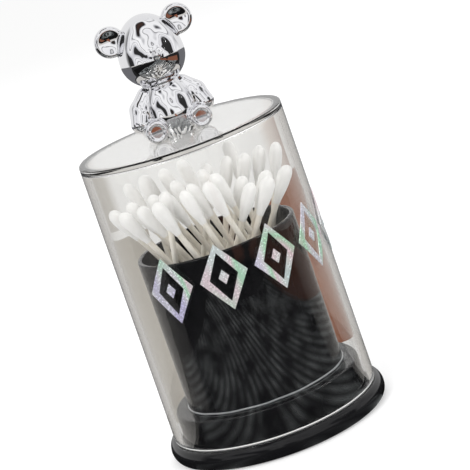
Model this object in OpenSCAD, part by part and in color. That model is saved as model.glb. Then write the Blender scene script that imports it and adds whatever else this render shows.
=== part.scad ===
// Cotton swab holder: a black base with a cup standing on it, a bunch of cotton swabs in the cup,
// and a clear cover that lifts off, with a sitting bear on top as its handle.
// The origin is the middle of the base's underside, +Z is up, and the bear looks along -Y.

/* [Base] */
// How far the base stands out past the cover's foot
base_lip = 2.9; // [1.5:0.1:5]
// Height of the face that the cover stands on
base_t = 8; // [6:0.5:12]
// How far the rounded edge of the base reaches in from its widest line
base_round = 2.6; // [1:0.1:2.8]
// Height of the raised step above that face
step_h = 12.5; // [8:0.5:18]
// Rounding of the step's upper edge
step_round = 0.8; // [0.3:0.1:1.5]
// Wall of the hollow base
base_wall = 2.5; // [1.6:0.1:3.5]
// Gap all round between the step and the inside of the cover's foot
cover_play = 1.4; // [0.6:0.1:2.5]

/* [Inner cup] */
// Outer diameter of the cup
cup_d = 68.8; // [64:0.2:72]
// Height of the cup, from the step to the rim
cup_h = 66.7; // [58:0.1:76]
// Wall of the cup
cup_wall = 2; // [1.4:0.1:3]
// Depth of the cup, from the rim to its floor
cup_depth = 42.5; // [36:0.5:52]
// Thickness of the cup's floor
cup_floor_t = 2; // [1.4:0.1:3]
// Rounding of the rim's two edges
cup_round = 0.7; // [0.3:0.1:0.9]

/* [Cover] */
// Outer diameter of the cover under its top edge
cover_d = 88; // [84:0.5:96]
// How much wider the radius is at the foot than at the top
cover_flare = 0.8; // [0:0.1:2]
// Height of the cover
cover_h = 125; // [118:0.5:140]
// Wall of the cover
cover_wall = 2.8; // [2:0.1:3.4]
// Thickness of the cover's top
cover_top_t = 2.6; // [1.8:0.1:4]
// Rounding of the outer top edge
cover_round = 0.8; // [0.5:0.1:2.4]
// Fillet inside, under the top
cover_fillet = 1; // [0.5:0.1:3]

/* [Bear] */
// Height of the bear
bear_h = 51.3; // [44:0.1:58]
// Width of the bear's head
head_w = 27.6; // [24:0.1:30]
// Height of the head's widest line above the cover
head_z = 33.2; // [31:0.1:35]
// Depth of the head under its widest line
chin_h = 12.6; // [11.5:0.1:13.5]
// Diameter of an ear
ear_d = 13; // [10:0.1:15]
// Thickness of the bead round an ear
ear_t = 4.2; // [3:0.1:5]
// Distance between the middles of the ears
ear_gap = 29.2; // [26:0.1:31]
// Height of the middle of the ears above the cover
ear_z = 44.5; // [42:0.1:46]
// Widest diameter of the body
body_d = 22; // [19:0.1:24]
// Distance between the middles of the hands
hand_gap = 27.6; // [25:0.1:30]
// Diameter of a hand
hand_d = 8.6; // [7:0.1:10]
// Distance between the middles of the feet
foot_gap = 19.4; // [17:0.1:22]
// Diameter of a foot
foot_d = 9.4; // [8:0.1:10]
// How far the soles stand in front of the bear's middle
foot_reach = 11.5; // [10:0.1:13]
// Diameter of the pad sunk into each sole
sole_pad_d = 6; // [4:0.1:6.5]
// Depth of that pad
sole_pad_t = 0.4; // [0.2:0.1:1]
// How far the bear stands behind the middle of the cover
bear_back = 1; // [-2:0.5:4]

/* [Foil marks] */
// Number of marks round the cover
mark_count = 5; // [3:1:8]
// Width of a mark
mark_w = 20; // [14:0.5:21]
// Height of a mark
mark_h = 28; // [20:0.5:34]
// Width of the frame of a mark at its side corners
mark_frame = 4; // [2.5:0.1:4.5]
// Width of the small lozenge in the middle of a mark
mark_core = 4.4; // [2:0.1:5]
// Thickness of the foil
mark_t = 0.3; // [0.15:0.05:0.5]
// Height of the middle of the marks above the cover's foot
mark_z = 71; // [50:0.5:90]
// Angle from one mark to the next
mark_step = 30; // [29:0.5:36]
// Angle of the first mark, from the front towards +X
mark_start = -40; // [-90:1:90]

/* [Swabs] */
// Length of a swab
swab_l = 75; // [72:0.5:80]
// Widest diameter of a cotton tip
tip_d = 5.8; // [5:0.1:6.4]
// Length of a cotton tip
tip_l = 17; // [13:0.5:20]
// Diameter of the stick
stick_d = 2.4; // [1.8:0.1:2.8]
// Least gap between two swabs
swab_gap = 0.3; // [0.2:0.05:0.6]
// Turn of the whole bunch about the cup's axis
bunch_turn = -8; // [-45:1:45]

/* [Hidden] */
$fn = 96;
face_gap = 0.05;
seat_gap = 0.1;

// The stack of heights
step_z = base_t + step_h;
cup_rim_z = step_z + cup_h;
cup_floor_z = cup_rim_z - cup_depth;
cover_top_z = base_t + cover_h;

// The radii, each from the piece that it fits
cover_r = cover_d / 2;
cover_foot_r = cover_r + cover_flare;
cover_in_r = cover_r - cover_wall;
base_r = cover_foot_r + base_lip;
step_r = cover_foot_r - cover_wall - cover_play;
recess_r = step_r - base_wall;
cup_r = cup_d / 2;
cup_in_r = cup_r - cup_wall;

// The bear's shoulders, arms and face follow its head and body
body_r = body_d / 2;
body_z = 9;
neck_in = 4;
body_top = head_z - chin_h + neck_in;
shoulder_d = 8;
shoulder_x = 8;
shoulder_z = 18.4;
hand_z = 8.9;
hand_y = -3;
muzzle_d = 9;
muzzle_out = 1.9;
nose_d = 3.4;
nose_out = 1.1;
ear_dish = 0.6;
heel_y = 3;
foot_sink = 0.2;
foot_z = foot_d / 2 - foot_sink;
sole_round = 1;

// A mark's frame is narrower at its upper and lower corners
mark_tip_frame = 0.65 * mark_frame;
mark_spare = 1;

// The wound cotton: its round end, and how it runs out on the stick
cotton_nose = 4.2;
cotton_root = 0.25;
cotton_end = 0.3;
cotton_taper = 1.5;

// A place in the bunch is measured in slots, one tip and one gap wide
slot = tip_d + swab_gap;
tip_r = tip_d / 2;
swab_run = swab_l - tip_d;
swab_foot_z = cup_floor_z + tip_r + seat_gap;
foot_limit = cup_in_r - tip_r - swab_gap;
rim_limit = cup_in_r - stick_d / 2 - swab_gap;
head_limit = cover_in_r - tip_r - swab_gap;

// The bunch stands in upright layers, front to back. Each layer has the place of its feet and of its heads,
// front to back, and then the swabs from left to right: foot place, head place, and how far the head stands
// behind its layer. Neighbours in a layer, and layers beside each other, are at least one slot apart at the
// foot and no closer at the head, so swabs never cross within a layer and layers never meet.
BUNCH = [
    [-2.5, -5.4, [[0.4, -2.8, 0], [1.7, -0.9, 0], [3.2, 0.7, 0]]],
    [-1.45, -4.3, [[-4.1, -2.2, 0], [-2.3, 3.2, 0], [-1.1, 4.4, 0]]],
    [-0.4, -3.2, [[-0.9, -5.1, 0], [0.3, -3.9, 0], [1.5, -2.1, 0], [2.7, -0.4, 0], [3.9, 1.3, 0]]],
    [0.65, -2, [[-3.6, 0.8, 0], [-2.3, 2.9, -0.1], [-1.1, 4.5, 0], [0.1, 5.8, -0.1]]],
    [1.7, -0.4, [[-1.1, -6, 0], [0.1, -4.7, 0.2], [1.2, -3.1, -0.3], [2.3, -1.4, 0.2], [3.5, 0.6, -0.2]]],
    [2.72, 1.4, [[-3.7, -3.4, 0.2], [-2.5, 0.9, -0.2], [-1.3, 2.4, 0.2], [-0.2, 3.6, -0.3], [0.9, 4.8, 0.3],
        [2.1, 6, -0.2]]],
    [3.74, 3.4, [[-1.4, -4.7, -0.3], [-0.3, -3.4, 0.4], [0.8, -2, -0.1], [1.9, -0.6, 0.5], [2.95, 2.9, 0.1]]]
];

// Each swab as its foot and its head, in slots, where the cup has room for the foot
SWABS = [
    for (layer = BUNCH) for (s = layer[2])
        if (norm([s[0], layer[0]]) * slot <= foot_limit)
            [[s[0], layer[0]], [s[1], layer[1] + s[2]]]
];

// The bunch opens out until the first swab reaches the cup's rim or the cover
spread_most = 1.2;
spread_least = 0.1;
spread_step = 0.01;
spread = widest_spread(spread_most);

function run_of(s, share) = share * (s[1] - s[0]) * slot;
function rise_of(s, share) = sqrt(pow(swab_run, 2) - pow(norm(run_of(s, share)), 2));
function at_rim(s, share) = s[0] * slot + run_of(s, share) * (cup_rim_z - swab_foot_z) / rise_of(s, share);
function at_head(s, share) = s[0] * slot + run_of(s, share);
function fits(s, share) = norm(at_rim(s, share)) <= rim_limit && norm(at_head(s, share)) <= head_limit;
function widest_spread(share) =
    share < spread_least || len([for (s = SWABS) if (!fits(s, share)) 1]) == 0
        ? share : widest_spread(share - spread_step);

function two_digits(n) = str(n < 10 ? "0" : "", n);
function swab_name(i) = str("swab_", two_digits(i + 1));
function mark_name(i) = str("foil_mark_", i + 1);
function mark_angle(i) = mark_start + i * mark_step;

// An elliptic arc in steps, as points of an outline
function arc(middle, radii, from, to, steps = 10) = [
    for (i = [0 : steps])
        let (a = from + (to - from) * i / steps)
            [middle[0] + radii[0] * cos(a), middle[1] + radii[1] * sin(a)]
];

module revolve(outline) {
    rotate_extrude() polygon(outline);
}

// Turns a shape that stands on +Z so that it runs from one point towards another
module aim(from, to) {
    d = to - from;
    translate(from) rotate([0, acos(d[2] / norm(d)), atan2(d[1], d[0])]) children();
}

// Base: a hollow disc with a rounded edge and a raised step that centres the cover
module base() {
    color([0.03, 0.03, 0.035]) revolve(concat(
        [[0, step_z - base_wall], [recess_r, step_z - base_wall], [recess_r, 0]],
        arc([base_r - base_round, base_t / 2], [base_round, base_t / 2], -90, 90, 16),
        [[step_r, base_t]],
        arc([step_r - step_round, step_z - step_round], [step_round, step_round], 0, 90, 6),
        [[0, step_z]]
    ));
}

// Inner cup: a straight tube on the step, with a raised floor and an open skirt under it
module inner_cup() {
    color([0.03, 0.03, 0.035]) revolve(concat(
        [[0, cup_floor_z - cup_floor_t], [cup_in_r, cup_floor_z - cup_floor_t], [cup_in_r, step_z], [cup_r, step_z]],
        arc([cup_r - cup_round, cup_rim_z - cup_round], [cup_round, cup_round], 0, 90, 5),
        arc([cup_in_r + cup_round, cup_rim_z - cup_round], [cup_round, cup_round], 90, 180, 5),
        [[cup_in_r, cup_floor_z], [0, cup_floor_z]]
    ));
}

// Cover: a clear dome in one piece, slightly wider at its open foot
module cover() {
    under_top = cover_top_z - cover_top_t;
    color([0.85, 0.9, 0.92, 0.3]) revolve(concat(
        [[cover_foot_r - cover_wall, base_t], [cover_foot_r, base_t]],
        arc([cover_r - cover_round, cover_top_z - cover_round], [cover_round, cover_round], 0, 90, 8),
        [[0, cover_top_z], [0, under_top]],
        arc([cover_in_r - cover_fillet, under_top - cover_fillet], [cover_fillet, cover_fillet], 90, 0, 6)
    ));
}

// Bear: one plated piece, sitting with its arms down and its soles to the front
module bear_figure() {
    color([0.8, 0.8, 0.82]) translate([0, bear_back, cover_top_z]) difference() {
        union() {
            bear_body();
            bear_head();
            for (side = [-1, 1]) {
                bear_ear(side);
                bear_arm(side);
                bear_foot(side);
            }
        }
        translate([-bear_h, -bear_h, -bear_h]) cube([2 * bear_h, 2 * bear_h, bear_h]);
        for (side = [-1, 1]) sole_pad(side);
    }
}

// The body is an egg, cut flat where it sits
module bear_body() {
    egg_h = body_top - body_z;
    seat_angle = asin(body_z / egg_h);
    rotate([0, 0, 90]) revolve(concat([[0, 0]], arc([0, body_z], [body_r, egg_h], -seat_angle, 90, 10)));
}

module bear_head() {
    rotate([0, 0, 90]) revolve(concat(
        arc([0, head_z], [head_w / 2, chin_h], -90, 0, 9),
        arc([0, head_z], [head_w / 2, bear_h - head_z], 0, 90, 11)
    ));
    muzzle_y = head_w / 2 + muzzle_out - muzzle_d / 2;
    translate([0, -muzzle_y, head_z]) sphere(d = muzzle_d);
    translate([0, nose_d / 2 - nose_out - muzzle_y - muzzle_d / 2, head_z + nose_d / 2]) sphere(d = nose_d);
}

// An ear is a disc with a round bead at its edge and a hollow at the front
module bear_ear(side) {
    bead = ear_t / 2;
    bead_middle = ear_d / 2 - bead;
    translate([side * ear_gap / 2, 0, ear_z]) rotate([90, 0, 0]) revolve(concat(
        [[0, -bead]],
        arc([bead_middle, 0], [bead, bead], -90, 130, 11),
        [[bead_middle - bead, ear_dish], [0, 0]]
    ));
}

// A limb with round ends, thicker or thinner towards its far end
module limb(from, to, from_d, to_d) {
    reach = norm(to - from);
    slope = asin((from_d - to_d) / 2 / reach);
    aim(from, to) revolve(concat(
        arc([0, 0], [from_d / 2, from_d / 2], -90, slope, 6),
        arc([0, reach], [to_d / 2, to_d / 2], slope, 90, 6)
    ));
}

module bear_arm(side) {
    limb([side * hand_gap / 2, hand_y, hand_z], [side * shoulder_x, 0, shoulder_z], hand_d, shoulder_d);
}

module bear_foot(side) {
    foot_r = foot_d / 2;
    translate([side * foot_gap / 2, -foot_reach, foot_z]) rotate([-90, 0, 0]) revolve(concat(
        [[0, 0]],
        arc([foot_r - sole_round, sole_round], [sole_round, sole_round], -90, 0, 3),
        arc([0, foot_reach + heel_y - foot_r], [foot_r, foot_r], 0, 90, 6)
    ));
}

module sole_pad(side) {
    translate([side * foot_gap / 2, -foot_reach - sole_pad_t, foot_z]) rotate([-90, 0, 0])
        cylinder(d = sole_pad_d, h = 2 * sole_pad_t);
}

// A foil mark: a lozenge frame with a small lozenge in it, lying on the outside of the cover
module foil_mark(i) {
    color([0.75, 0.82, 0.84]) rotate([0, 0, mark_angle(i)]) intersection() {
        foil_band();
        translate([0, 0, base_t + mark_z]) rotate([90, 0, 0]) linear_extrude(height = base_r) mark_outline();
    }
}

// Radius of the cover's outside at a height above its foot
function cover_r_at(h) = cover_foot_r - cover_flare * h / (cover_h - cover_round);

module foil_band() {
    low = mark_z - mark_h / 2 - mark_spare;
    high = mark_z + mark_h / 2 + mark_spare;
    revolve([
        [cover_r_at(low) + face_gap, base_t + low],
        [cover_r_at(low) + face_gap + mark_t, base_t + low],
        [cover_r_at(high) + face_gap + mark_t, base_t + high],
        [cover_r_at(high) + face_gap, base_t + high]
    ]);
}

module lozenge(width, height) {
    polygon([[width / 2, 0], [0, height / 2], [-width / 2, 0], [0, -height / 2]]);
}

module mark_outline() {
    slim = mark_h / mark_w;
    difference() {
        lozenge(mark_w, mark_h);
        lozenge(mark_w - 2 * mark_frame, (mark_w - 2 * mark_tip_frame) * slim);
    }
    lozenge(mark_core, mark_core * slim);
}

// Outline of half a swab, from the middle of its end to the start of the bare stick
function tip_outline() =
    let (root = stick_d / 2 + cotton_root, steps = 9)
    concat(
        arc([0, cotton_nose], [tip_r, cotton_nose], -90, 0, 5),
        [for (i = [1 : steps])
            let (share = i / steps, fall = 0.5 + 0.5 * cos(180 * pow(share, cotton_taper)))
                [root + (tip_r - root) * fall, cotton_nose + (tip_l - cotton_nose) * share]],
        [[stick_d / 2, tip_l + cotton_end]]
    );

// Swab: a stick with a cotton tip at each end, in one piece
module swab(i) {
    s = SWABS[i];
    foot = s[0] * slot;
    head = at_head(s, spread);
    low = tip_outline();
    high = [for (k = [len(low) - 1 : -1 : 0]) [low[k][0], swab_l - low[k][1]]];
    color([0.96, 0.95, 0.92]) rotate([0, 0, bunch_turn])
        aim([foot[0], foot[1], swab_foot_z], [head[0], head[1], swab_foot_z + rise_of(s, spread)])
            translate([0, 0, -tip_r]) revolve(concat(low, high));
}

base();
inner_cup();
cover();
bear_figure();
for (i = [0 : mark_count - 1]) foil_mark(i);
for (i = [0 : len(SWABS) - 1]) swab(i);
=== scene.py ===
"""The looks of a cotton swab holder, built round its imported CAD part.

The black base, its cup and the clear cover are turned from fine outlines, the bear is one blended form with a plated
finish, and the cotton swabs are grown by a Geometry Nodes tree along the axis of each packed swab. Sizes are in
millimetres until a mesh is made, and each object sits at the origin with its place in its mesh.
"""

import logging
import math
from collections.abc import Callable, Sequence
from dataclasses import dataclass
from enum import Enum
from typing import Any

import bmesh
import bpy
import numpy as np
from bmesh.types import BMesh, BMVert
from bpy.types import ID, Material, Mesh, Node, NodeSocket, NodeTree, Object
from mathutils import Matrix, Vector


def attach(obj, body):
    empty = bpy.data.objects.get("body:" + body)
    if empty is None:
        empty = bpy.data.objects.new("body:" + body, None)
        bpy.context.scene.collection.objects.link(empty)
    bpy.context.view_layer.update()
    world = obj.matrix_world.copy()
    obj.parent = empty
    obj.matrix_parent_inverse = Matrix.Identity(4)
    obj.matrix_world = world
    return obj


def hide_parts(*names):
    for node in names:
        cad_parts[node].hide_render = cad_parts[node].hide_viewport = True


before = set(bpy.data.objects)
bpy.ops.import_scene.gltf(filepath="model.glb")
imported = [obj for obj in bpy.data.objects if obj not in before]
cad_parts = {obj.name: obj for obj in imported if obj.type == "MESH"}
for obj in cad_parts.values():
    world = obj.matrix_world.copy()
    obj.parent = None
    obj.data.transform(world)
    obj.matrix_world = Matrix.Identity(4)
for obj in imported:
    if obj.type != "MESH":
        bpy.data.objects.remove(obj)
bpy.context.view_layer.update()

MM = 0.001
LOG = logging.getLogger("swab_holder")

Point2 = tuple[float, float]
Point3 = tuple[float, float, float]
Colour = tuple[float, float, float]
Stops = Sequence[tuple[float, Colour]]
Inputs = dict[str | int, Any]
Form = Callable[[np.ndarray], np.ndarray]
WRAP_MAP = "winding"


class Body(Enum):
    """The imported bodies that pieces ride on."""

    BASE = "base"
    COVER = "cover"


class Sight(Enum):
    """Where a card is seen: in all reflections, only in those outside the cover, or straight through the cover."""

    REFLECTED = "reflected"
    REFLECTED_OUTSIDE = "reflected_outside"
    THROUGH_COVER = "through_cover"


class Slot(Enum):
    """The record's material slots, one named for each kind of new piece; nothing here gives a piece its slot."""

    BASE = "base"
    CUP = "inner_cup"
    COVER = "cover"
    BEAR = "bear"
    COTTON = "cotton"


def new_object(name: str, data: ID) -> Object:
    """Makes an object of its data and puts it in the scene."""
    made = bpy.data.objects.new(name, data)
    bpy.context.scene.collection.objects.link(made)
    return made


def bare_material(name: str) -> Material:
    """Makes a material with an empty node tree."""
    material = bpy.data.materials.new(name)
    material.use_nodes = True
    material.node_tree.nodes.clear()
    return material


def add_node(tree: NodeTree, kind: str, inputs: Inputs | None = None, **settings: Any) -> Node:
    """Adds a node to a tree, sets it up and fills its inputs.

    Args:
        tree: The shader or geometry tree.
        kind: The node's type name, without the first word that says for which kind of tree it is.
        inputs: Input name or number to a value, or to the socket that feeds it.
        **settings: The node's own properties.

    Returns:
        The new node.
    """
    full = next(first + kind for first in ("ShaderNode", "GeometryNode", "Node") if hasattr(bpy.types, first + kind))
    node = tree.nodes.new(full)
    for name, value in settings.items():
        setattr(node, name, value)
    for key, value in (inputs or {}).items():
        if isinstance(value, NodeSocket):
            tree.links.new(value, node.inputs[key])
        else:
            node.inputs[key].default_value = value
    return node


def output(tree: NodeTree, kind: str, inputs: Inputs | None = None, **settings: Any) -> NodeSocket:
    """Adds a node as add_node does, and returns its first output."""
    return add_node(tree, kind, inputs, **settings).outputs[0]


def maths(tree: NodeTree, operation: str, a: Any, b: Any = 0.0, c: Any = 0.0) -> NodeSocket:
    """Adds a sum of numbers or sockets and returns its result."""
    return output(tree, "Math", {0: a, 1: b, 2: c}, operation=operation)


def ramp(tree: NodeTree, factor: NodeSocket, stops: Stops) -> NodeSocket:
    """Turns a number into a colour along a ramp.

    Args:
        tree: The shader tree.
        factor: The number, from 0 to 1.
        stops: Positions with their colours.

    Returns:
        The ramp's colour socket.
    """
    node = add_node(tree, "ValToRGB", {0: factor})
    elements = node.color_ramp.elements
    while len(elements) < len(stops):
        elements.new(1.0)
    for element, (place, colour) in zip(elements, stops):
        element.position, element.color = place, (*colour, 1.0)
    return node.outputs["Color"]


class Finish:
    """A procedural material under construction, with one Principled node."""

    def __init__(self, name: str, base_color: Colour, **sockets: Any) -> None:
        """Starts a material.

        Args:
            name: The material's name.
            base_color: Its main colour.
            **sockets: Plain values of the Principled node's sockets, with underscores for spaces.
        """
        self.material = bare_material(name)
        self.tree = self.material.node_tree
        self.shader = add_node(self.tree, "BsdfPrincipled", {"Base Color": (*base_color, 1.0)})
        for key, value in sockets.items():
            self.shader.inputs[key.replace("_", " ")].default_value = value
        self.place = add_node(self.tree, "TexCoord").outputs["Object"]
        self.output = add_node(self.tree, "OutputMaterial", {"Surface": self.shader.outputs[0]})

    def noise(self, scale: float, detail: float = 3.0, roughness: float = 0.5,
              stretch: Point3 | None = None) -> NodeSocket:
        """Adds a noise over the object.

        Args:
            scale: Waves to the metre.
            detail: Octaves of finer noise.
            roughness: Strength of the finer octaves.
            stretch: A scale for each axis, or None for an even noise.

        Returns:
            The noise's number, around 0.5.
        """
        place = self.place
        if stretch:
            place = output(self.tree, "Mapping", {"Vector": place, "Scale": stretch})
        inputs = {"Vector": place, "Scale": scale, "Detail": detail, "Roughness": roughness}
        return output(self.tree, "TexNoise", inputs)

    def spread(self, number: NodeSocket, low: float, high: float) -> NodeSocket:
        """Maps a noise's number from 0.3 and 0.7, between which it mostly lies, to low and high."""
        return output(self.tree, "MapRange", {0: number, 1: 0.3, 2: 0.7, 3: low, 4: high})

    def feed(self, socket: str, value: NodeSocket) -> None:
        """Feeds one of the Principled node's sockets."""
        self.tree.links.new(value, self.shader.inputs[socket])

    def bump(self, height: NodeSocket, distance: float) -> None:
        """Adds a bump on top of what the surface has already.

        Args:
            height: The height as a number from 0 to 1.
            distance: The height of 1, in metres.
        """
        inputs: Inputs = {"Height": height, "Distance": distance, "Strength": 1.0}
        before = self.shader.inputs["Normal"]
        if before.is_linked:
            inputs["Normal"] = before.links[0].from_socket
        self.feed("Normal", output(self.tree, "Bump", inputs))


@dataclass(frozen=True)
class BlackGloss:
    """Glossy black moulded plastic with a faint unevenness from the mould."""

    name: str = "black_gloss"
    base_color: Colour = (0.008, 0.008, 0.009)
    roughness: Point2 = (0.07, 0.16)
    streak: Point3 = (60.0, 60.0, 60.0)
    wave_mm: float = 0.02
    shine: float = 0.5

    def material(self) -> Material:
        """Builds the material."""
        f = Finish(self.name, self.base_color, IOR=1.5, Specular_IOR_Level=self.shine)
        haze = f.noise(1.0, 4.0, stretch=self.streak)
        f.feed("Roughness", f.spread(haze, *self.roughness))
        f.bump(f.noise(1.0, 1.0, stretch=tuple(0.5 * s for s in self.streak)), self.wave_mm * MM)
        return f.material


@dataclass(frozen=True)
class ClearPlastic:
    """Clear moulded plastic that lets the lamps through to what it covers."""

    name: str = "clear_plastic"
    base_color: Colour = (0.925, 0.922, 0.915)
    ior: float = 1.49
    wave_mm: float = 0.012

    def material(self) -> Material:
        """Builds the material."""
        f = Finish(self.name, self.base_color, IOR=self.ior, Roughness=0.0, Transmission_Weight=1.0)
        f.bump(f.noise(1.0, 0.0, stretch=(28.0, 28.0, 9.0)), self.wave_mm * MM)
        path = add_node(f.tree, "LightPath")
        clear = add_node(f.tree, "BsdfTransparent", {"Color": (0.99, 0.99, 0.99, 1.0)})
        shader = f.shader.outputs[0]
        for ray in ("Is Diffuse Ray", "Is Shadow Ray"):
            shader = output(f.tree, "MixShader", {0: path.outputs[ray], 1: shader, 2: clear.outputs[0]})
        f.tree.links.new(shader, f.output.inputs["Surface"])
        return f.material


@dataclass(frozen=True)
class FrostedEdgePaintedGlow:
    """The cover's frosted foot edge, whose near-white colour is painted glow that stands in for the light carried in
    the clear wall.
    """

    name: str = "frosted_edge_painted_glow"
    # painted glow: near-white in place of the light that the clear wall lets out at its frosted foot
    base_color: Colour = (0.93, 0.93, 0.92)

    def material(self) -> Material:
        """Builds the material."""
        f = Finish(self.name, self.base_color, IOR=1.49)
        grain = f.noise(1500.0, 2.0)
        f.feed("Roughness", f.spread(grain, 0.35, 0.55))
        f.bump(grain, 0.02 * MM)
        return f.material


@dataclass(frozen=True)
class PlatedPlastic:
    """Bright plated plastic, mirror-like, with a very soft waviness under the plating."""

    name: str = "bright_plating"
    base_color: Colour = (0.86, 0.86, 0.88)
    roughness: Point2 = (0.02, 0.06)
    wave_mm: float = 0.03

    def material(self) -> Material:
        """Builds the material."""
        f = Finish(self.name, self.base_color, Metallic=1.0)
        f.feed("Roughness", f.spread(f.noise(220.0), *self.roughness))
        f.bump(f.noise(130.0, 1.0), self.wave_mm * MM)
        return f.material


@dataclass(frozen=True)
class RainbowFoil:
    """Stamped foil that breaks light into pale rainbow colours, in patches with a fine grain."""

    name: str = "rainbow_foil"
    patch: float = 55.0
    grain: float = 900.0

    def material(self) -> Material:
        """Builds the material."""
        f = Finish(self.name, (0.8, 0.85, 0.86), Metallic=0.45)
        patch = f.noise(self.patch, 1.0, stretch=(1.0, 1.0, 0.35))
        colour = ramp(f.tree, patch, [
            (0.30, (0.58, 0.80, 0.80)), (0.42, (0.86, 0.90, 0.90)), (0.50, (0.90, 0.74, 0.80)),
            (0.57, (0.52, 0.86, 0.62)), (0.64, (0.88, 0.88, 0.92)), (0.74, (0.66, 0.62, 0.86)),
        ])
        f.feed("Base Color", colour)
        grain = f.noise(self.grain, 2.0)
        f.feed("Roughness", f.spread(grain, 0.14, 0.34))
        f.bump(grain, 0.006 * MM)
        return f.material


@dataclass(frozen=True)
class WoundCotton:
    """Soft white cotton, wound on in a slant, with a fine nap."""

    name: str = "wound_cotton"
    base_color: Colour = (0.93, 0.925, 0.905)
    shaded: Colour = (0.90, 0.893, 0.87)

    def material(self) -> Material:
        """Builds the material."""
        f = Finish(self.name, self.base_color, Roughness=0.95, Sheen_Weight=0.35, Sheen_Roughness=0.6,
                   Specular_IOR_Level=0.15)
        tufts = f.noise(450.0, 4.0, 0.6)
        f.feed("Base Color", ramp(f.tree, tufts, [(0.3, self.shaded), (0.62, self.base_color)]))
        f.bump(tufts, 0.16 * MM)
        winding = output(f.tree, "UVMap", uv_map=WRAP_MAP)
        slant = add_node(f.tree, "TexWave", {
            "Vector": winding, "Scale": 1.6, "Distortion": 3.0, "Detail": 2.0, "Detail Scale": 1.5,
        }, bands_direction="DIAGONAL").outputs[1]
        f.bump(slant, 0.05 * MM)
        f.bump(f.noise(3500.0, 2.0, 0.7), 0.05 * MM)
        return f.material


@dataclass(frozen=True)
class PaperStick:
    """A rolled paper stick, cream white, with the faint slanting edge of the roll."""

    name: str = "paper_stick"
    base_color: Colour = (0.90, 0.86, 0.78)

    def material(self) -> Material:
        """Builds the material."""
        f = Finish(self.name, self.base_color, Roughness=0.7, Specular_IOR_Level=0.3)
        pulp = f.noise(600.0, 3.0, stretch=(1.0, 1.0, 0.25))
        f.feed("Base Color", ramp(f.tree, pulp, [(0.3, (0.82, 0.77, 0.67)), (0.6, self.base_color)]))
        f.bump(pulp, 0.03 * MM)
        return f.material


@dataclass(frozen=True)
class ClearGlue:
    """Clear glue that has squeezed out and set, a little cloudy."""

    name: str = "clear_glue"
    base_color: Colour = (0.30, 0.31, 0.32)

    def material(self) -> Material:
        """Builds the material."""
        f = Finish(self.name, self.base_color, Coat_Weight=0.6, Coat_Roughness=0.08)
        cloud = f.noise(260.0, 3.0)
        f.feed("Roughness", f.spread(cloud, 0.12, 0.35))
        f.bump(cloud, 0.05 * MM)
        return f.material


def arc(middle: Point2, radii: Point2, start: float, end: float, steps: int) -> list[Point2]:
    """Returns the points of an elliptic arc, from one angle to another in degrees."""
    angles = [math.radians(start + (end - start) * i / steps) for i in range(steps + 1)]
    return [(middle[0] + radii[0] * math.cos(a), middle[1] + radii[1] * math.sin(a)) for a in angles]


def new_piece(name: str, mesh: BMesh, sharp_deg: float = 32.0) -> Object:
    """Makes a smooth-shaded object of a mesh, with its hard edges kept sharp.

    Args:
        name: The piece's name.
        mesh: The mesh, in metres, which is used up.
        sharp_deg: The least angle between two faces of a hard edge.

    Returns:
        The object, in the scene.
    """
    for face in mesh.faces:
        face.smooth = True
    limit = math.radians(sharp_deg)
    for edge in mesh.edges:
        edge.smooth = not (edge.is_manifold and edge.calc_face_angle(0.0) > limit)
    data = bpy.data.meshes.new(name)
    mesh.to_mesh(data)
    mesh.free()
    return new_object(name, data)


def turned_piece(name: str, outline: list[Point2], segments: int = 192) -> Object:
    """Turns a half outline about the Z axis into a closed piece.

    Args:
        name: The piece's name.
        outline: Radius and height of each point, in millimetres, all the way round the section.
        segments: Steps round the axis.

    Returns:
        The object, in the scene.
    """
    mesh = bmesh.new()
    rings = []
    turns = [2 * math.pi * k / segments for k in range(segments)]
    for radius, height in outline:
        r, z = radius * MM, height * MM
        angles = turns if r > 0 else [0.0]
        rings.append([mesh.verts.new((r * math.cos(a), r * math.sin(a), z)) for a in angles])
    for low, high in zip(rings, rings[1:] + rings[:1]):
        if len(low) == len(high) == 1:
            continue
        for k in range(segments):
            corners = [low[k % len(low)], low[(k + 1) % len(low)], high[(k + 1) % len(high)], high[k % len(high)]]
            mesh.faces.new(list(dict.fromkeys(corners)))
    bmesh.ops.recalc_face_normals(mesh, faces=mesh.faces)
    return new_piece(name, mesh)


def place_piece(piece: Object, body: Body, slot: Slot, materials: list[Material], *nodes: str) -> None:
    """Dresses a piece, makes it ride on its body and lets it stand for its CAD nodes.

    Args:
        piece: The finished piece.
        body: The body that it moves with.
        slot: Not used.
        materials: Its materials, or none for a piece that already has its own.
        *nodes: The CAD nodes that it replaces.
    """
    for material in materials:
        piece.data.materials.append(material)
    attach(piece, body.value)
    if nodes:
        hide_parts(*nodes)
    LOG.info("%s: %d faces", piece.name, len(piece.data.polygons))


@dataclass
class Base:
    """The black base: a hollow disc with a rounded edge and a step that centres the cover."""

    edge_r: float = 47.7
    height: float = 8.0
    edge_round: float = 2.6
    recess_round: float = 0.6
    step_r: float = 40.6
    step_z: float = 20.5
    step_round: float = 0.8
    wall: float = 2.5
    finish: BlackGloss = BlackGloss("black_base", streak=(70.0, 70.0, 70.0), shine=0.28)

    def outline(self) -> list[Point2]:
        """Returns the half section, with soft inner corners."""
        recess_r, ceiling, r = self.step_r - self.wall, self.step_z - self.wall, self.recess_round
        half, soft = self.height / 2, self.step_round
        return [
            (0.0, ceiling), (recess_r - 1.0, ceiling), *arc((recess_r - r, ceiling - r), (r, r), 90, 0, 5),
            (recess_r, 0.5), (recess_r + 0.4, 0.0),
            *arc((self.edge_r - self.edge_round, half), (self.edge_round, half), -90, 90, 28),
            (self.step_r + 1.0, self.height), (self.step_r + 0.3, self.height), (self.step_r, self.height + 0.3),
            (self.step_r, self.step_z - soft - 1.0),
            *arc((self.step_r - soft, self.step_z - soft), (soft, soft), 0, 90, 10),
            (self.step_r - soft - 1.0, self.step_z), (0.0, self.step_z),
        ]

    def build(self) -> None:
        """Builds and places the base."""
        piece = turned_piece("moulded_base", self.outline())
        place_piece(piece, Body.BASE, Slot.BASE, [self.finish.material()], "base")


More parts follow.
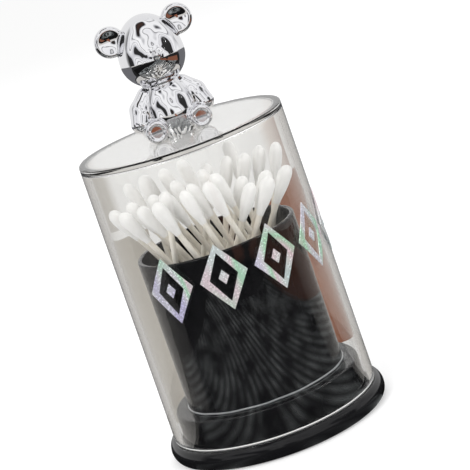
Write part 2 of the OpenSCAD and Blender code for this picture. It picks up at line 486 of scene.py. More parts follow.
@dataclass
class InnerCup:
    """The black cup with its raised floor, and the glue that squeezed out round its foot."""

    outer_r: float = 34.4
    wall: float = 2.0
    foot_z: float = 20.5
    rim_z: float = 87.2
    floor_z: float = 44.7
    floor_t: float = 2.0
    floor_round: float = 1.2
    under_round: float = 0.6
    rim_round: float = 0.7
    glue_r: float = 0.45
    glue_swell: float = 0.8
    glue_steps: int = 220
    finish: BlackGloss = BlackGloss("black_cup", streak=(120.0, 120.0, 6.0), wave_mm=0.05, shine=0.2)
    glue: ClearGlue = ClearGlue()

    def outline(self) -> list[Point2]:
        """Returns the half section, with a fine rim."""
        inner_r, under = self.outer_r - self.wall, self.floor_z - self.floor_t
        r, low, high = self.rim_round, self.under_round, self.floor_round
        return [
            (0.0, under), (inner_r - 1.5, under), *arc((inner_r - low, under - low), (low, low), 90, 0, 5),
            (inner_r, self.foot_z), (self.outer_r, self.foot_z), (self.outer_r, self.rim_z - r - 0.8),
            *arc((self.outer_r - r, self.rim_z - r), (r, r), 0, 90, 8),
            *arc((inner_r + r, self.rim_z - r), (r, r), 90, 180, 8),
            (inner_r, self.floor_z + 1.6), *arc((inner_r - high, self.floor_z + high), (high, high), 0, -90, 6),
            (0.0, self.floor_z),
        ]

    def glue_line(self) -> Object:
        """Builds the bead of glue with a Geometry Nodes tree that sweeps an uneven bead round the cup's foot.

        Returns:
            The bead as a plain mesh.
        """
        sizes = {"Ring": self.outer_r * MM, "Bead": self.glue_r * MM, "Unevenness": self.glue_swell * MM}
        tree = new_geometry_tree("squeezed_glue", sizes)
        given = tree.nodes["Group Input"].outputs
        whole = {"Resolution": self.glue_steps, "Radius": given["Ring"]}
        ring = output(tree, "CurvePrimitiveCircle", whole)
        where = output(tree, "InputPosition")
        swell = output(tree, "TexNoise", {"Vector": where, "Scale": 90.0, "Detail": 1.0})
        lift = maths(tree, "MULTIPLY", swell, given["Unevenness"])
        offset = output(tree, "CombineXYZ", {"Z": lift})
        moved = output(tree, "SetPosition", {"Geometry": ring, "Offset": offset})
        section = output(tree, "CurvePrimitiveCircle", {"Resolution": 12, "Radius": given["Bead"]})
        bead = output(tree, "CurveToMesh", {"Curve": moved, "Profile Curve": section})
        end_tree(tree, bead, (self.glue.material(), None))
        return grown_piece("glue_line", bpy.data.meshes.new("glue_line"), tree, {}, Vector((0, 0, self.foot_z * MM)))

    def build(self) -> None:
        """Builds and places the cup and its glue."""
        piece = turned_piece("moulded_cup", self.outline())
        place_piece(piece, Body.BASE, Slot.CUP, [self.finish.material()], "inner_cup")
        place_piece(self.glue_line(), Body.BASE, Slot.CUP, [])


@dataclass
class Cover:
    """The clear cover: a dome in one piece, slightly wider at its open foot."""

    foot_z: float = 8.0
    top_z: float = 133.0
    top_r: float = 44.0
    foot_r: float = 44.8
    wall: float = 2.8
    top_t: float = 2.6
    edge_round: float = 0.8
    fillet: float = 1.0
    foot_chamfer: float = 0.4
    finish: ClearPlastic = ClearPlastic()
    painted_glow_edge: FrostedEdgePaintedGlow = FrostedEdgePaintedGlow()

    def outline(self) -> list[Point2]:
        """Returns the half section, with a chamfered foot and rounded top edges."""
        inner_top, under, soft = self.top_r - self.wall, self.top_z - self.top_t, self.foot_chamfer
        inner_foot, r = self.foot_r - self.wall, self.edge_round
        return [
            (inner_foot, self.foot_z + soft), (inner_foot + soft, self.foot_z), (self.foot_r - soft, self.foot_z),
            (self.foot_r, self.foot_z + soft),
            *arc((self.top_r - r, self.top_z - r), (r, r), 0, 90, 14),
            (self.top_r - r - 1.0, self.top_z), (0.0, self.top_z), (0.0, under),
            (inner_top - self.fillet - 1.0, under),
            *arc((inner_top - self.fillet, under - self.fillet), (self.fillet,) * 2, 90, 0, 12),
        ]

    def build(self) -> None:
        """Builds and places the cover."""
        piece = turned_piece("clear_cover", self.outline(), 256)
        place_piece(piece, Body.COVER, Slot.COVER, [self.finish.material(), self.painted_glow_edge.material()], "cover")
        # The faces at the foot take the frosted edge with its painted glow.
        painted_glow_top = (self.foot_z + self.foot_chamfer) * MM + 1e-6
        for face in piece.data.polygons:
            face.material_index = int(all(piece.data.vertices[v].co.z < painted_glow_top for v in face.vertices))


def smooth_least(a: np.ndarray, b: np.ndarray, blend: float) -> np.ndarray:
    """Returns the lesser of two distances, blended where they are near each other."""
    share = np.clip(0.5 + 0.5 * (b - a) / blend, 0.0, 1.0)
    return b * (1 - share) + a * share - blend * share * (1 - share)


def egg(middle: Point3, low: float, high: float, radius: float) -> Form:
    """Makes a round form with its own height below and above its middle."""
    def distance(p: np.ndarray) -> np.ndarray:
        """Returns how far the points are from the skin."""
        q = p - np.array(middle)
        radii = np.stack([np.full(len(q), radius), np.full(len(q), radius), np.where(q[:, 2] > 0, high, low)], 1)
        scaled = q / radii
        size = np.linalg.norm(scaled, axis=1)
        return size * (size - 1) / np.maximum(np.linalg.norm(scaled / radii, axis=1), 1e-9)
    return distance


def ball(middle: Point3, radius: float) -> Form:
    """Makes a ball."""
    return egg(middle, radius, radius, radius)


def slab(middle: Point3, radius: float, half: float, soft: float) -> Form:
    """Makes a round plate that faces along Y, of a radius, half a thickness and soft edges."""
    def distance(p: np.ndarray) -> np.ndarray:
        """Returns how far the points are from the skin."""
        q = p - np.array(middle)
        out, off = np.hypot(q[:, 0], q[:, 2]) - (radius - soft), np.abs(q[:, 1]) - (half - soft)
        return np.minimum(np.maximum(out, off), 0) + np.hypot(np.maximum(out, 0), np.maximum(off, 0)) - soft
    return distance


def limb(start: Point3, end: Point3, start_r: float, end_r: float) -> Form:
    """Makes a limb with round ends, each with its own radius."""
    def distance(p: np.ndarray) -> np.ndarray:
        """Returns how far the points are from the skin."""
        a, d = np.array(start), np.array(end) - np.array(start)
        along = np.clip((p - a) @ d / (d @ d), 0, 1)
        return np.linalg.norm(p - a - along[:, None] * d, axis=1) - (start_r + (end_r - start_r) * along)
    return distance


@dataclass
class Bear:
    """The plated bear, one blended form that sits on the cover.

    Its right half stands for both. Each blend is the width over which two forms flow into each other, and even_out
    holds how strongly each round of smoothing draws a vertex to the middle of its neighbours.
    """

    seat: Point3 = (0.0, 1.0, 133.0)
    height: float = 51.3
    head_r: float = 13.8
    head_z: float = 33.2
    chin_h: float = 12.6
    body_r: float = 11.0
    body_z: float = 9.0
    body_h: float = 15.6
    ear: Point3 = (14.6, 0.0, 44.5)
    ear_r: float = 6.5
    ear_half: float = 2.1
    ear_soft: float = 1.6
    ear_dish: float = 0.9
    ear_dish_r: float = 4.9
    hand: Point3 = (13.8, -3.0, 8.9)
    hand_r: float = 4.3
    elbow: Point3 = (11.9, -1.2, 13.8)
    elbow_r: float = 4.8
    shoulder: Point3 = (8.0, 0.0, 18.4)
    shoulder_r: float = 4.0
    foot: Point3 = (9.7, -11.5, 4.5)
    foot_r: float = 4.7
    foot_soft: float = 1.0
    heel_y: float = 3.0
    pad_r: float = 3.0
    pad_t: float = 0.45
    pad_soft: float = 0.2
    muzzle: Point3 = (0.0, -11.2, 33.2)
    muzzle_r: float = 4.5
    nose: Point3 = (0.0, -15.1, 34.9)
    nose_r: float = 1.7
    elbow_blend: float = 0.6
    arm_blend: float = 1.0
    foot_blend: float = 0.8
    muzzle_blend: float = 1.6
    nose_blend: float = 0.5
    neck_blend: float = 1.0
    ear_blend: float = 0.8
    dish_blend: float = 0.5
    pad_blend: float = 0.35
    voxel: float = 0.42
    grid_low: Point3 = (-22.0, -18.5, -3.5)
    grid_high: Point3 = (22.0, 14.5, 52.8)
    even_out: tuple[float, ...] = (0.7,) * 20 + (0.25,) * 4
    finish: PlatedPlastic = PlatedPlastic()

    def distance(self, p: np.ndarray) -> np.ndarray:
        """Returns each point's distance from the bear's skin, in millimetres from its seat.

        Args:
            p: Points as rows.

        Returns:
            The distances, negative inside.
        """
        q = p.copy()
        q[:, 0] = np.abs(q[:, 0])
        body = egg((0, 0, self.body_z), self.body_h, self.body_h, self.body_r)(q)
        upper = limb(self.elbow, self.shoulder, self.elbow_r, self.shoulder_r)(q)
        lower = limb(self.hand, self.elbow, self.hand_r, self.elbow_r)(q)
        x, y, z = self.foot
        half = (self.heel_y - y) / 2
        foot = slab((x, y + half, z), self.foot_r, half, self.foot_soft)(q)
        pad = slab(self.foot, self.pad_r, self.pad_t, self.pad_soft)(q)
        head = egg((0, 0, self.head_z), self.chin_h, self.height - self.head_z, self.head_r)(q)
        ear = slab(self.ear, self.ear_r, self.ear_half, self.ear_soft)(q)
        hollow_r = (self.ear_dish_r ** 2 + self.ear_dish ** 2) / (2 * self.ear_dish)
        hollow_y = self.ear[1] - self.ear_half + self.ear_dish - hollow_r
        hollow = ball((self.ear[0], hollow_y, self.ear[2]), hollow_r)(q)
        ear = -smooth_least(-ear, hollow, self.dish_blend)
        face = smooth_least(head, ball(self.muzzle, self.muzzle_r)(q), self.muzzle_blend)
        face = smooth_least(face, ball(self.nose, self.nose_r)(q), self.nose_blend)
        skin = smooth_least(body, smooth_least(upper, lower, self.elbow_blend), self.arm_blend)
        for more, blend in ((foot, self.foot_blend), (face, self.neck_blend), (ear, self.ear_blend)):
            skin = smooth_least(skin, more, blend)
        return -smooth_least(-skin, pad, self.pad_blend)

    def rough_form(self) -> BMesh:
        """Fills a grid of cells inside the skin and returns the faces between inside and outside.

        Returns:
            A blocky closed mesh, in millimetres from the bear's seat.
        """
        low, high = np.array(self.grid_low), np.array(self.grid_high)
        count = np.ceil((high - low) / self.voxel).astype(int)
        axes = [low[i] + self.voxel * (np.arange(count[i]) + 0.5) for i in range(3)]
        grid = np.stack(np.meshgrid(*axes, indexing="ij"), -1).reshape(-1, 3)
        inside = np.zeros(len(grid), bool)
        for part in np.array_split(np.arange(len(grid)), 12):
            inside[part] = self.distance(grid[part]) < 0
        inside = np.pad(inside.reshape(count), 1)
        corners: dict[tuple[int, int, int], BMVert] = {}
        mesh = bmesh.new()

        def corner(index: tuple[int, int, int]) -> BMVert:
            """Returns the vertex at a corner of the grid."""
            if index not in corners:
                corners[index] = mesh.verts.new(low + self.voxel * (np.array(index) - 1.0))
            return corners[index]

        for axis in range(3):
            here = np.moveaxis(inside, axis, 0)
            change = here[1:].astype(int) - here[:-1]
            for i, j, k in np.argwhere(change):
                square = [(0, 0), (1, 0), (1, 1), (0, 1)]
                if change[i, j, k] > 0:
                    square.reverse()
                verts = []
                for dj, dk in square:
                    index = [j + dj, k + dk]
                    index.insert(axis, i + 1)
                    verts.append(corner(tuple(index)))
                if axis == 1:
                    verts.reverse()
                mesh.faces.new(verts)
        return mesh

    def skin_mesh(self) -> BMesh:
        """Draws the blocky form onto the true skin, evens it out and cuts it flat at the seat.

        Returns:
            The finished mesh, in metres in the row frame.
        """
        mesh = self.rough_form()
        mesh.verts.index_update()
        points = np.array([v.co for v in mesh.verts])
        edges = np.array([[v.index for v in e.verts] for e in mesh.edges])
        degree = np.bincount(edges.ravel(), minlength=len(points))[:, None]
        for strength in self.even_out:
            total = np.zeros_like(points)
            for a, b in ((0, 1), (1, 0)):
                for axis in range(3):
                    total[:, axis] += np.bincount(edges[:, a], points[edges[:, b], axis], len(points))
            points += (total / degree - points) * strength
            points = self.onto_skin(points)
        for vert, point in zip(mesh.verts, points):
            vert.co = point
        geometry = mesh.verts[:] + mesh.edges[:] + mesh.faces[:]
        bmesh.ops.bisect_plane(mesh, geom=geometry, plane_co=(0, 0, 0), plane_no=(0, 0, -1), clear_outer=True)
        bmesh.ops.holes_fill(mesh, edges=[e for e in mesh.edges if e.is_boundary], sides=0)
        bmesh.ops.recalc_face_normals(mesh, faces=mesh.faces)
        bmesh.ops.transform(mesh, matrix=Matrix.Scale(MM, 4) @ Matrix.Translation(self.seat), verts=mesh.verts)
        return mesh

    def onto_skin(self, points: np.ndarray) -> np.ndarray:
        """Moves points straight onto the bear's skin, by no more than a cell at a time."""
        small = 0.01
        here = self.distance(points)
        slope = np.stack([(self.distance(points + small * axis) - here) / small for axis in np.eye(3)], 1)
        steep = np.maximum((slope**2).sum(1), 0.05)
        return points - slope * np.clip(here / steep, -self.voxel, self.voxel)[:, None]

    def build(self) -> None:
        """Builds and places the bear."""
        piece = new_piece("plated_bear", self.skin_mesh(), 60.0)
        place_piece(piece, Body.COVER, Slot.BEAR, [self.finish.material()], "bear_figure")


@dataclass
class FoilMarks:
    """The foil marks stamped on the cover, as packed, with their rainbow finish."""

    finish: RainbowFoil = RainbowFoil()

    def build(self) -> None:
        """Dresses every packed mark."""
        material = self.finish.material()
        for name in sorted(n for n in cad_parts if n.startswith("foil_mark")):
            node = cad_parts[name]
            for slot in node.material_slots:
                slot.material = material
            LOG.info("%s: dressed", name)


def new_geometry_tree(name: str, sizes: dict[str, float]) -> NodeTree:
    """Starts a Geometry Nodes tree with named number inputs.

    Args:
        name: The tree's name.
        sizes: The name and the default of each input.

    Returns:
        The tree, with its input node.
    """
    tree = bpy.data.node_groups.new(name, "GeometryNodeTree")
    tree.interface.new_socket("Geometry", in_out="INPUT", socket_type="NodeSocketGeometry")
    for key, value in sizes.items():
        tree.interface.new_socket(key, in_out="INPUT", socket_type="NodeSocketFloat").default_value = value
    tree.interface.new_socket("Geometry", in_out="OUTPUT", socket_type="NodeSocketGeometry")
    add_node(tree, "GroupInput", name="Group Input")
    return tree


def capture(tree: NodeTree, geometry: NodeSocket, name: str, number: NodeSocket) -> tuple[NodeSocket, NodeSocket]:
    """Keeps a number on a geometry, and returns the geometry and the number that goes on with it."""
    node = add_node(tree, "CaptureAttribute", {"Geometry": geometry})
    node.capture_items.new("FLOAT", name)
    tree.links.new(number, node.inputs[name])
    return node.outputs["Geometry"], node.outputs[name]


def end_tree(tree: NodeTree, result: NodeSocket, *materials: tuple[Material, NodeSocket | None]) -> None:
    """Ends a tree: makes its instances real, shades them smooth and gives them their materials.

    Args:
        tree: The tree.
        result: The geometry that it has made.
        *materials: Each material with the faces that it is for, or None for all.
    """
    result = output(tree, "RealizeInstances", {0: result})
    result = output(tree, "SetShadeSmooth", {0: result})
    for material, faces in materials:
        inputs = {"Geometry": result, "Material": material}
        if faces is not None:
            inputs["Selection"] = faces
        result = output(tree, "SetMaterial", inputs)
    add_node(tree, "GroupOutput", {0: result})


def grown_piece(name: str, start: Mesh, tree: NodeTree, sizes: dict[str, float], lift: Vector) -> Object:
    """Runs a Geometry Nodes tree on a mesh and keeps the result as a plain mesh.

    Args:
        name: The piece's name.
        start: The mesh that the tree begins with.
        tree: The tree.
        sizes: The inputs that differ from their defaults, by name.
        lift: How far the result is moved.

    Returns:
        The object, in the scene, without modifiers.
    """
    piece = new_object(name, start)
    modifier = piece.modifiers.new(name, "NODES")
    modifier.node_group = tree
    sockets = {item.name: item.identifier for item in tree.interface.items_tree if item.in_out == "INPUT"}
    for key, value in sizes.items():
        modifier[sockets[key]] = value
    graph = bpy.context.evaluated_depsgraph_get()
    made = bpy.data.meshes.new_from_object(piece.evaluated_get(graph), preserve_all_data_layers=True, depsgraph=graph)
    piece.modifiers.clear()
    piece.data = made
    made.name = name
    made.transform(Matrix.Translation(lift))
    return piece


@dataclass(frozen=True)
class SwabTree:
    """The Geometry Nodes tree that grows a swab along one edge, from its foot to its head.

    The tip's shape gives the share of its radius along the tip, from the swab's end to where the bare stick begins.
    """

    length: float = 75.0
    tip_r: float = 2.9
    tip_l: float = 17.0
    stick_r: float = 1.2
    lumps: float = 0.16
    rings: int = 112
    round_steps: int = 24
    tip_shape: tuple[Point2, ...] = (
        (0.0, 0.0), (0.012, 0.30), (0.045, 0.56), (0.11, 0.82), (0.19, 0.96), (0.28, 1.0), (0.45, 0.98), (0.65, 0.85),
        (0.85, 0.62), (1.0, 0.5),
    )
    stick: PaperStick = PaperStick()
    cotton: WoundCotton = WoundCotton()

    def spine(self, tree: NodeTree) -> tuple[NodeSocket, NodeSocket]:
        """Draws the axis with its steps crowded towards both ends, where the tips are round.

        Args:
            tree: The tree.

        Returns:
            The curve, and the way along it from the nearer end.
        """
        given = tree.nodes["Group Input"].outputs
        axis = output(tree, "MeshToCurve", {"Mesh": given["Geometry"]})
        curve = output(tree, "ResampleCurve", {"Curve": axis, "Count": self.rings})
        step = output(tree, "SplineParameter")
        swing = maths(tree, "COSINE", maths(tree, "MULTIPLY", step, math.pi))
        share = maths(tree, "MULTIPLY_ADD", swing, -0.5, 0.5)
        there = add_node(tree, "SampleCurve", {"Curves": axis, "Factor": share}, mode="FACTOR")
        inputs = {"Geometry": curve, "Position": there.outputs["Position"]}
        curve = output(tree, "SetPosition", inputs)
        nearer = maths(tree, "MINIMUM", step, maths(tree, "SUBTRACT", 1.0, step))
        return capture(tree, curve, "From end", maths(tree, "MULTIPLY", nearer, given["Length"]))

    def build(self) -> NodeTree:
        """Builds the tree.

        Returns:
            The finished tree, with the sizes as its inputs.
        """
        sizes = {"Length": self.length * MM, "Tip radius": self.tip_r * MM, "Tip length": self.tip_l * MM,
                 "Stick radius": self.stick_r * MM, "Lumps": self.lumps * MM, "Seed": 0.0}
        tree = new_geometry_tree("wound_swab", sizes)
        given = tree.nodes["Group Input"].outputs
        spine, from_end = self.spine(tree)
        along = maths(tree, "DIVIDE", from_end, given["Tip length"])
        swell = add_node(tree, "FloatCurve", {"Value": along})
        points = swell.mapping.curves[0].points
        points[0].location, points[1].location = self.tip_shape[0], self.tip_shape[-1]
        for place in self.tip_shape[1:-1]:
            points.new(*place)
        swell.mapping.update()
        cotton_r = maths(tree, "MULTIPLY", swell.outputs[0], given["Tip radius"])
        on_tip = maths(tree, "LESS_THAN", from_end, given["Tip length"])
        radii = {0: on_tip, 2: given["Stick radius"], 3: cotton_r}
        radius = output(tree, "Mix", radii, data_type="FLOAT")
        section = output(tree, "CurvePrimitiveCircle", {"Resolution": self.round_steps, "Radius": 1.0})
        section, turn = capture(tree, section, "Round", output(tree, "SplineParameter"))
        skin = output(tree, "CurveToMesh", {"Curve": spine, "Profile Curve": section, "Scale": radius})
        skin = output(tree, "MergeByDistance", {"Geometry": skin, "Distance": 2e-6})
        normal = output(tree, "InputNormal")
        where = output(tree, "InputPosition")
        lumps = output(tree, "TexNoise", {
            "Vector": where, "W": given["Seed"], "Scale": 260.0, "Detail": 2.0,
        }, noise_dimensions="4D")
        height = maths(tree, "MULTIPLY", maths(tree, "SUBTRACT", lumps, 0.55), given["Lumps"])
        height = maths(tree, "MULTIPLY", height, on_tip)
        push = output(tree, "VectorMath", {0: normal, "Scale": height}, operation="SCALE")
        skin = output(tree, "SetPosition", {"Geometry": skin, "Offset": push})
        wrap = output(tree, "CombineXYZ", {"X": turn, "Y": along})
        skin = output(tree, "StoreNamedAttribute", {
            "Geometry": skin, "Name": WRAP_MAP, "Value": wrap,
        }, data_type="FLOAT2", domain="CORNER")
        end_tree(tree, skin, (self.stick.material(), None), (self.cotton.material(), on_tip))
        return tree


@dataclass
class SwabBunch:
    """The loose cotton swabs, each grown where its CAD node stands, some with slightly fuller tips than others."""

    tree: SwabTree = SwabTree()
    fuller: float = 0.035

    @staticmethod
    def axis_of(name: str) -> tuple[Vector, Vector]:
        """Finds the axis of a packed swab.

        Args:
            name: The CAD node's name.

        Returns:
            Its lower and its upper end, in metres.
        """
        points = np.array([v.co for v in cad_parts[name].data.vertices], float)
        low, high = points.min(0), points.max(0)
        middle = (low + high) / 2
        direction = np.linalg.svd(points - middle, full_matrices=False)[2][0]
        direction *= np.sign(direction[2])
        along = (points - middle) @ direction
        return Vector(middle + direction * along.min()), Vector(middle + direction * along.max())

    def build(self) -> None:
        """Grows and places every swab."""
        tree = self.tree.build()
        for number, name in enumerate(sorted(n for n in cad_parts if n.startswith("swab_")), 1):
            foot, head = self.axis_of(name)
            start = bpy.data.meshes.new(name)
            start.from_pydata([foot, head], [(0, 1)], [])
            swell = 1.0 + self.fuller * math.sin(number * 2.4)
            sizes = {"Seed": 3.7 * number, "Length": (head - foot).length, "Tip radius": self.tree.tip_r * MM * swell}
            piece = grown_piece(f"wound_{name}", start, tree, sizes, Vector())
            place_piece(piece, Body.BASE, Slot.COTTON, [], name)


@dataclass(frozen=True)
class PhotoCamera:
    """The camera fitted to the photograph: its place before the turn round the object, and its angles in radians."""

    place: Point3 = (10.57, -853.72, 269.97)
    turn_deg: float = -8.0
    yaw: float = -0.00305
    pitch: float = 0.2145
    roll: float = 0.33435
    lens: float = 159.81
    sensor: float = 36.0
    clip: Point2 = (0.01, 50.0)

    def build(self) -> None:
        """Makes the camera and gives it to the scene."""
        turn = Matrix.Rotation(math.radians(self.turn_deg), 3, "Z")
        level = math.cos(self.pitch)
        ahead = Vector((math.sin(self.yaw) * level, math.cos(self.yaw) * level, -math.sin(self.pitch)))
        right = Vector((math.cos(self.yaw), -math.sin(self.yaw), 0.0))
        up = right.cross(ahead)
        cosine, sine = math.cos(self.roll), math.sin(self.roll)
        right, up = right * cosine - up * sine, up * cosine + right * sine
        data = bpy.data.cameras.new("photo_camera")
        data.lens, data.sensor_width, data.sensor_fit = self.lens, self.sensor, "AUTO"
        data.clip_start, data.clip_end = self.clip
        camera = new_object("photo_camera", data)
        axes = Matrix((turn @ right, turn @ up, turn @ -ahead)).transposed()
        camera.matrix_world = Matrix.Translation(turn @ Vector(self.place) * MM) @ axes.to_4x4()
        bpy.context.scene.camera = camera


@dataclass(frozen=True)
class Lamp:
    """A soft square lamp that looks at the object."""

    name: str
    place: Point3
    size: float
    power: float

    def build(self, target: Vector) -> None:
        """Hangs the lamp and points it at the target."""
        data = bpy.data.lights.new(self.name, "AREA")
        data.size, data.energy = self.size, self.power
        lamp = new_object(self.name, data)
        lamp.location = self.place
        lamp.rotation_euler = (target - Vector(self.place)).to_track_quat("-Z", "Y").to_euler()


@dataclass(frozen=True)
class Rings:
    """Fine rings of light on a card, broken into soft patches."""

    middle: Point2
    step: float
    faint: float = 0.08
    patch_scale: float = 22.0
    patch_edge: Point2 = (0.36, 0.68)

    def strength(self, tree: NodeTree, place: NodeSocket) -> NodeSocket:
        """Returns the light's strength at a place."""
        away = add_node(tree, "VectorMath", {0: place, 1: (*self.middle, 0.0)}, operation="DISTANCE")
        wave = maths(tree, "PINGPONG", away.outputs["Value"], self.step)
        pale = output(tree, "MapRange", {0: wave, 1: 0.0, 2: self.step, 3: self.faint})
        patches = output(tree, "TexNoise", {"Vector": place, "Scale": self.patch_scale, "Detail": 2.0})
        low, high = self.patch_edge
        return maths(tree, "MULTIPLY", pale, output(tree, "MapRange", {0: patches, 1: low, 2: high}))


@dataclass(frozen=True)
class Card:
    """A card that shows only in reflections, or only straight through the clear cover, and never by itself.

    It lies on the floor or stands upright, and has an even colour, rings, or bands in place of its colour.
    """

    name: str
    place: Point3
    width: float
    height: float
    colour: Colour = (1.0, 1.0, 1.0)
    sight: Sight = Sight.REFLECTED
    turn_deg: float = 0.0
    upright: bool = False
    rings: Rings | None = None
    bands: Stops = ()

    def material(self) -> Material:
        """Builds the card's light, which is clear to every other ray.

        Returns:
            The material.
        """
        material = bare_material(self.name)
        tree = material.node_tree
        light = add_node(tree, "Emission", {"Color": (*self.colour, 1.0)})
        place = add_node(tree, "TexCoord").outputs["Object"]
        if self.bands:
            across = output(tree, "SeparateXYZ", {0: place})
            low = self.place[0] - self.width / 2
            share = output(tree, "MapRange", {0: across, 1: low, 2: low + self.width})
            tree.links.new(ramp(tree, share, self.bands), light.inputs["Color"])
        if self.rings:
            tree.links.new(self.rings.strength(tree, place), light.inputs["Strength"])
        turns = add_node(tree, "LightPath").outputs["Glossy Depth"]
        comparison = "LESS_THAN" if self.sight is Sight.THROUGH_COVER else "GREATER_THAN"
        seen = maths(tree, comparison, turns, 0.5)
        clear = output(tree, "BsdfTransparent")
        both = output(tree, "MixShader", {0: seen, 1: clear, 2: light.outputs[0]})
        add_node(tree, "OutputMaterial", {"Surface": both})
        return material

    def build(self, target: Vector) -> None:
        """Sets the card upright facing the target, or lays it on the floor."""
        mesh = bmesh.new()
        bmesh.ops.create_grid(mesh, x_segments=1, y_segments=1, size=0.5)
        if self.upright:
            turn = (target - Vector(self.place)).to_track_quat("Z", "Y").to_matrix().to_4x4()
        else:
            turn = Matrix.Rotation(math.radians(self.turn_deg), 4, "Z")
        size = Matrix.Diagonal((self.width, self.height, 1.0, 1.0))
        bmesh.ops.transform(mesh, matrix=Matrix.Translation(self.place) @ turn @ size, verts=mesh.verts)
        card = new_piece(self.name, mesh)
        card.data.materials.append(self.material())
        card.visible_camera = card.visible_diffuse = card.visible_shadow = False
        card.visible_transmission = self.sight is not Sight.REFLECTED_OUTSIDE


@dataclass(frozen=True)
class Room:
    """A pale room that only bright surfaces reflect, with dark edges that wander across it and a plain back."""

    radius: float = 1.25
    scale: float = 1.25
    seed: float = 3.0
    look: Stops = (
        (0.0, (0.22, 0.09, 0.05)), (0.31, (0.02, 0.02, 0.02)), (0.33, (0.50, 0.50, 0.52)), (0.36, (1.0, 1.0, 1.0)),
        (0.445, (1.0, 1.0, 1.0)), (0.455, (0.02, 0.02, 0.02)), (0.465, (0.60, 0.60, 0.62)), (0.49, (1.0, 1.0, 1.0)),
        (0.545, (0.90, 0.90, 0.92)), (0.55, (0.02, 0.02, 0.02)), (0.562, (1.0, 1.0, 1.0)), (0.64, (0.62, 0.62, 0.65)),
        (0.66, (0.03, 0.03, 0.03)),
    )
    back_color: Colour = (0.86, 0.86, 0.86)
    back_edge: Point2 = (0.1, 0.5)

    def build(self) -> None:
        """Builds the room as a shell round the studio."""
        mesh = bmesh.new()
        bmesh.ops.create_uvsphere(mesh, u_segments=48, v_segments=24, radius=self.radius)
        bmesh.ops.reverse_faces(mesh, faces=mesh.faces)
        room = new_piece("studio_room", mesh)
        material = bare_material("studio_room")
        tree = material.node_tree
        place = add_node(tree, "TexCoord").outputs["Object"]
        edges = output(tree, "TexNoise", {
            "Vector": place, "W": self.seed, "Scale": self.scale, "Detail": 0.4,
        }, noise_dimensions="4D")
        colour = ramp(tree, edges, self.look)
        depth = add_node(tree, "SeparateXYZ", {0: place}).outputs[1]
        back = output(tree, "MapRange", {0: depth, 1: self.back_edge[0], 2: self.back_edge[1]})
        plain = add_node(tree, "Mix", {0: back, 6: colour, 7: (*self.back_color, 1.0)}, data_type="RGBA")
        light = output(tree, "Emission", {"Color": plain.outputs[2]})
        add_node(tree, "OutputMaterial", {"Surface": light})
        room.data.materials.append(material)
        room.visible_camera = room.visible_diffuse = room.visible_shadow = room.visible_transmission = False


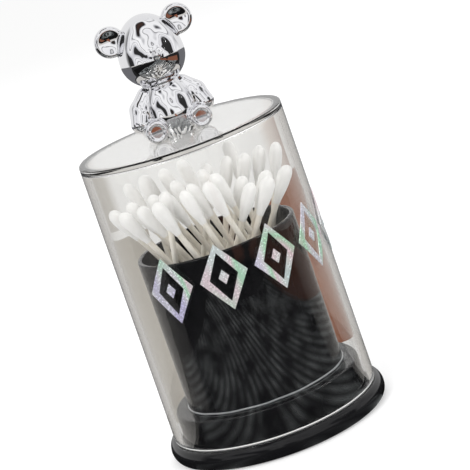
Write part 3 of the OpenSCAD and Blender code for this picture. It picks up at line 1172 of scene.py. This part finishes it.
@dataclass(frozen=True)
class Studio:
    """A plain white floor and surround, soft lamps, the room, and the cards that stand for what lies about."""

    aim: Point3 = (0.0, 0.0, 0.09)
    surround: float = 0.82
    floor_color: Colour = (0.74, 0.74, 0.74)
    floor_lift: float = 0.34
    floor_half: float = 12.0
    floor_z: float = -0.0002
    lamps: tuple[Lamp, ...] = (
        Lamp("key_lamp", (-0.75, -0.75, 0.95), 0.55, 6.5),
        Lamp("fill_lamp", (0.95, -0.55, 0.60), 0.30, 3.0),
        Lamp("back_lamp", (0.25, 0.95, 0.90), 0.60, 3.0),
    )
    cards: tuple[Card, ...] = (
        Card("grey_table", (0.0, 0.0, 0.0002), 2.50, 2.50, (0.70, 0.68, 0.65)),
        Card("dark_table", (0.0, 0.66, 0.0004), 2.40, 1.18, (0.16, 0.16, 0.17), Sight.REFLECTED_OUTSIDE),
        Card("black_sides", (0.0, -0.30, 0.00035), 2.00, 0.76, (0.02, 0.02, 0.02), Sight.REFLECTED_OUTSIDE),
        Card("black_table", (-0.05, -0.35, 0.0004), 0.90, 0.70, (0.008, 0.008, 0.008)),
        Card("streaks", (0.04, -0.19, 0.0006), 0.56, 0.34, (0.62, 0.66, 0.66), rings=Rings((-0.36, -0.02), 0.0085)),
        Card("brown_table", (0.34, -0.26, 0.0008), 0.24, 0.50, (0.22, 0.09, 0.055), turn_deg=-12.0),
        Card("brown_bar", (0.09, -0.80, 0.0006), 0.10, 0.62, (0.26, 0.10, 0.06)),
        Card("pale_floor", (0.15, 0.52, 0.0003), 1.40, 0.92, (0.95, 0.95, 0.94), Sight.THROUGH_COVER),
        Card("beige_floor", (-0.116, 0.29, 0.0005), 0.20, 0.46, (0.50, 0.47, 0.42), Sight.THROUGH_COVER, -4.9),
        Card("brown_floor", (0.186, 0.29, 0.0005), 0.20, 0.46, (0.30, 0.13, 0.08), Sight.THROUGH_COVER, -9.5),
        Card("pale_wall", (0.038, 0.50, 0.20), 0.42, 0.50, sight=Sight.THROUGH_COVER, upright=True, bands=(
            (0.0, (0.45, 0.42, 0.38)), (0.27, (0.62, 0.60, 0.56)), (0.34, (0.95, 0.95, 0.94)),
            (0.78, (0.95, 0.95, 0.94)), (0.84, (0.80, 0.74, 0.70)), (1.0, (0.50, 0.40, 0.36)),
        )),
    )

    def seen_rays(self, tree: NodeTree) -> NodeSocket:
        """Returns 1 for rays from the camera, reflections and clear pieces, and 0 for the rest."""
        path = add_node(tree, "LightPath").outputs
        total = path["Is Camera Ray"]
        for name in ("Is Glossy Ray", "Is Transmission Ray"):
            total = maths(tree, "MAXIMUM", total, path[name])
        return total

    def floor(self) -> None:
        """Lays the floor, which keeps the object's shadow and otherwise shows white."""
        mesh = bmesh.new()
        bmesh.ops.create_grid(mesh, x_segments=1, y_segments=1, size=self.floor_half)
        bmesh.ops.translate(mesh, vec=(0, 0, self.floor_z), verts=mesh.verts)
        floor = new_piece("studio_floor", mesh)
        material = bare_material("studio_floor")
        tree = material.node_tree
        matt = output(tree, "BsdfDiffuse", {"Color": (*self.floor_color, 1.0)})
        share = maths(tree, "MULTIPLY", self.seen_rays(tree), self.floor_lift)
        lift = output(tree, "Emission", {"Strength": share})
        both = output(tree, "AddShader", {0: matt, 1: lift})
        add_node(tree, "OutputMaterial", {"Surface": both})
        floor.data.materials.append(material)

    def surroundings(self) -> None:
        """Fills the world with white that lights the object at a plain level."""
        world = bpy.data.worlds.new("studio_surround")
        world.use_nodes = True
        tree = world.node_tree
        tree.nodes.clear()
        strength = output(tree, "MapRange", {0: self.seen_rays(tree), 3: self.surround, 4: 1.0})
        white = output(tree, "Background", {"Color": (1.0, 1.0, 1.0, 1.0), "Strength": strength})
        add_node(tree, "OutputWorld", {"Surface": white})
        bpy.context.scene.world = world

    def build(self) -> None:
        """Sets the studio up round the object."""
        self.floor()
        self.surroundings()
        Room().build()
        for thing in (*self.lamps, *self.cards):
            thing.build(Vector(self.aim))


def main() -> None:
    """Builds the camera, the pieces and the studio in order."""
    logging.basicConfig(level=logging.INFO, format="%(message)s")
    bpy.context.scene.view_settings.view_transform = "Standard"
    PhotoCamera().build()
    for part in (Base(), InnerCup(), Cover(), Bear(), FoilMarks(), SwabBunch(), Studio()):
        part.build()
        LOG.info("%s is built", type(part).__name__)


if __name__ == "__main__":
    main()
